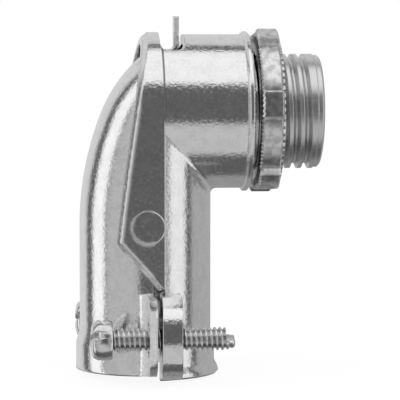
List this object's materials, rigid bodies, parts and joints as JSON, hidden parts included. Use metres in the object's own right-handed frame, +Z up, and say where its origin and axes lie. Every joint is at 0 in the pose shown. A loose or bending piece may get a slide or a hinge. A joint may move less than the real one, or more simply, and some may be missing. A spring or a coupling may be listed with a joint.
{
  "type": "right-angle conduit connector",
  "caption": "Right-angle cast connector for flexible conduit: threaded nipple with lugged locknut, elbow body with a hooked squeeze cover and slotted clamping screws.",
  "frame": {"origin": "on the nipple's axis, in the plane of the shoulder that seats on the box wall", "axes": "+X along the nipple out of the elbow, +Z up, away from the conduit mouth, which opens down"},
  "size_m": [0.0449, 0.0392, 0.0657],
  "materials": {
    "cast_zinc": "tumbled zinc die casting, bright with a fine orange-peel grain",
    "plated_steel": "zinc-plated steel, bright",
    "plated_nut": "zinc-plated steel with serrated faces"
  },
  "bodies": {
    "elbow": {"elbow_body": "cast_zinc"},
    "cover": {"clamp_cover": "cast_zinc"},
    "front_screw": {"clamp_screw_front": "plated_steel"},
    "rear_screw": {"clamp_screw_rear": "plated_steel"},
    "nut": {"locknut": "plated_nut"}
  },
  "joints": [
    {"name": "cover_swing", "type": "hinge", "parent": "elbow", "child": "cover", "pos_m": [-0.018, 0, 0.0115], "axis": [0, 1, 0], "range_deg": [-0.7, 4]},
    {"name": "front_screw_turn", "type": "hinge", "parent": "elbow", "child": "front_screw", "pos_m": [-0.017, -0.0156, -0.0403], "axis": [1, 0, 0], "continuous": true},
    {"name": "rear_screw_turn", "type": "hinge", "parent": "elbow", "child": "rear_screw", "pos_m": [-0.017, 0.0156, -0.0403], "axis": [1, 0, 0], "continuous": true},
    {"name": "locknut_travel", "type": "slide", "parent": "elbow", "child": "nut", "axis": [1, 0, 0], "range_m": [0, 0.013]}
  ]
}
